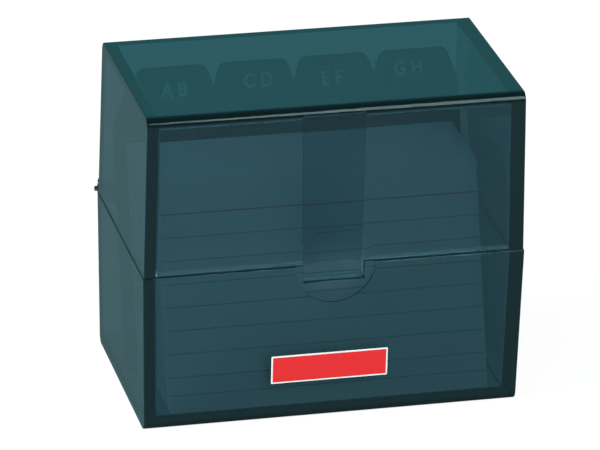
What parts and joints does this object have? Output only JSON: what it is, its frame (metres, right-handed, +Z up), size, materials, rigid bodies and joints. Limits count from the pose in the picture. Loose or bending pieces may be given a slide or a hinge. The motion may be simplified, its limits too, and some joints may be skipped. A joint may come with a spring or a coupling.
{
  "type": "index card box",
  "caption": "Small hinged desk box of clear tinted plastic with a thumb latch, holding ruled index cards and lettered tab dividers that lean back and tilt forward.",
  "frame": {"origin": "centre of the tray's flat underside", "axes": "+Z up, -Y towards the front with the latch and label, +X to the right seen from the front"},
  "size_m": [0.089, 0.0541, 0.0757],
  "materials": {
    "tinted_case": "polished, clear, tinted through",
    "label_film": "smooth printed film, blank, with a white edge",
    "pin_steel": "drawn wire",
    "card_stock": "smooth uncoated card with printed rules",
    "divider_sheet": "satin sheet with printed letters"
  },
  "bodies": {
    "case": {"base_tray": "tinted_case", "front_label": "label_film", "hinge_pin_left": "pin_steel", "hinge_pin_right": "pin_steel"},
    "lid": {"lid": "tinted_case"},
    "cards_1": {"card_pack_1": "card_stock"},
    "cards_2": {"card_pack_2": "card_stock"},
    "cards_3": {"card_pack_3": "card_stock"},
    "cards_4": {"card_pack_4": "card_stock"},
    "cards_5": {"card_pack_5": "card_stock"},
    "divider_ab": {"divider_ab": "divider_sheet"},
    "divider_cd": {"divider_cd": "divider_sheet"},
    "divider_ef": {"divider_ef": "divider_sheet"},
    "divider_gh": {"divider_gh": "divider_sheet"},
    "divider_ij": {"divider_ij": "divider_sheet"},
    "divider_kl": {"divider_kl": "divider_sheet"},
    "divider_mn": {"divider_mn": "divider_sheet"},
    "divider_op": {"divider_op": "divider_sheet"},
    "divider_qr": {"divider_qr": "divider_sheet"},
    "divider_st": {"divider_st": "divider_sheet"},
    "divider_uv": {"divider_uv": "divider_sheet"},
    "divider_wxyz": {"divider_wxyz": "divider_sheet"}
  },
  "joints": [
    {"name": "lid_hinge", "type": "hinge", "parent": "case", "child": "lid", "pos_m": [0, 0.02715, 0.03798], "axis": [-1, 0, 0], "range_deg": [0, 110]},
    {"name": "cards_1_tilt", "type": "hinge", "parent": "case", "child": "cards_1", "pos_m": [0, -0.02234, 0.00311], "axis": [1, 0, 0], "range_deg": [0, 15]},
    {"name": "cards_2_tilt", "type": "hinge", "parent": "case", "child": "cards_2", "pos_m": [0, -0.01789, 0.00311], "axis": [1, 0, 0], "range_deg": [0, 15]},
    {"name": "cards_3_tilt", "type": "hinge", "parent": "case", "child": "cards_3", "pos_m": [0, -0.01345, 0.00311], "axis": [1, 0, 0], "range_deg": [0, 15]},
    {"name": "cards_4_tilt", "type": "hinge", "parent": "case", "child": "cards_4", "pos_m": [0, -0.009, 0.00311], "axis": [1, 0, 0], "range_deg": [0, 15]},
    {"name": "cards_5_tilt", "type": "hinge", "parent": "case", "child": "cards_5", "pos_m": [0, -0.00456, 0.00311], "axis": [1, 0, 0], "range_deg": [0, 15]},
    {"name": "divider_ab_tilt", "type": "hinge", "parent": "case", "child": "divider_ab", "pos_m": [0, -0.00011, 0.00311], "axis": [1, 0, 0], "range_deg": [0, 15]},
    {"name": "divider_cd_tilt", "type": "hinge", "parent": "case", "child": "divider_cd", "pos_m": [0, 0.00009, 0.00311], "axis": [1, 0, 0], "range_deg": [0, 15]},
    {"name": "divider_ef_tilt", "type": "hinge", "parent": "case", "child": "divider_ef", "pos_m": [0, 0.00029, 0.00311], "axis": [1, 0, 0], "range_deg": [0, 15]},
    {"name": "divider_gh_tilt", "type": "hinge", "parent": "case", "child": "divider_gh", "pos_m": [0, 0.00049, 0.00311], "axis": [1, 0, 0], "range_deg": [0, 15]},
    {"name": "divider_ij_tilt", "type": "hinge", "parent": "case", "child": "divider_ij", "pos_m": [0, 0.00069, 0.00311], "axis": [1, 0, 0], "range_deg": [0, 15]},
    {"name": "divider_kl_tilt", "type": "hinge", "parent": "case", "child": "divider_kl", "pos_m": [0, 0.00089, 0.00311], "axis": [1, 0, 0], "range_deg": [0, 15]},
    {"name": "divider_mn_tilt", "type": "hinge", "parent": "case", "child": "divider_mn", "pos_m": [0, 0.00109, 0.00311], "axis": [1, 0, 0], "range_deg": [0, 15]},
    {"name": "divider_op_tilt", "type": "hinge", "parent": "case", "child": "divider_op", "pos_m": [0, 0.00128, 0.00311], "axis": [1, 0, 0], "range_deg": [0, 15]},
    {"name": "divider_qr_tilt", "type": "hinge", "parent": "case", "child": "divider_qr", "pos_m": [0, 0.00148, 0.00311], "axis": [1, 0, 0], "range_deg": [0, 15]},
    {"name": "divider_st_tilt", "type": "hinge", "parent": "case", "child": "divider_st", "pos_m": [0, 0.00168, 0.00311], "axis": [1, 0, 0], "range_deg": [0, 15]},
    {"name": "divider_uv_tilt", "type": "hinge", "parent": "case", "child": "divider_uv", "pos_m": [0, 0.00188, 0.00311], "axis": [1, 0, 0], "range_deg": [0, 15]},
    {"name": "divider_wxyz_tilt", "type": "hinge", "parent": "case", "child": "divider_wxyz", "pos_m": [0, 0.00208, 0.00311], "axis": [1, 0, 0], "range_deg": [0, 15]}
  ],
  "couplings": [
    {"joint": "cards_2_tilt", "follows": "cards_1_tilt", "ratio": 1},
    {"joint": "cards_3_tilt", "follows": "cards_1_tilt", "ratio": 1},
    {"joint": "cards_4_tilt", "follows": "cards_1_tilt", "ratio": 1},
    {"joint": "cards_5_tilt", "follows": "cards_1_tilt", "ratio": 1},
    {"joint": "divider_ab_tilt", "follows": "cards_1_tilt", "ratio": 1},
    {"joint": "divider_cd_tilt", "follows": "cards_1_tilt", "ratio": 1},
    {"joint": "divider_ef_tilt", "follows": "cards_1_tilt", "ratio": 1},
    {"joint": "divider_gh_tilt", "follows": "cards_1_tilt", "ratio": 1},
    {"joint": "divider_ij_tilt", "follows": "cards_1_tilt", "ratio": 1},
    {"joint": "divider_kl_tilt", "follows": "cards_1_tilt", "ratio": 1},
    {"joint": "divider_mn_tilt", "follows": "cards_1_tilt", "ratio": 1},
    {"joint": "divider_op_tilt", "follows": "cards_1_tilt", "ratio": 1},
    {"joint": "divider_qr_tilt", "follows": "cards_1_tilt", "ratio": 1},
    {"joint": "divider_st_tilt", "follows": "cards_1_tilt", "ratio": 1},
    {"joint": "divider_uv_tilt", "follows": "cards_1_tilt", "ratio": 1},
    {"joint": "divider_wxyz_tilt", "follows": "cards_1_tilt", "ratio": 1}
  ]
}
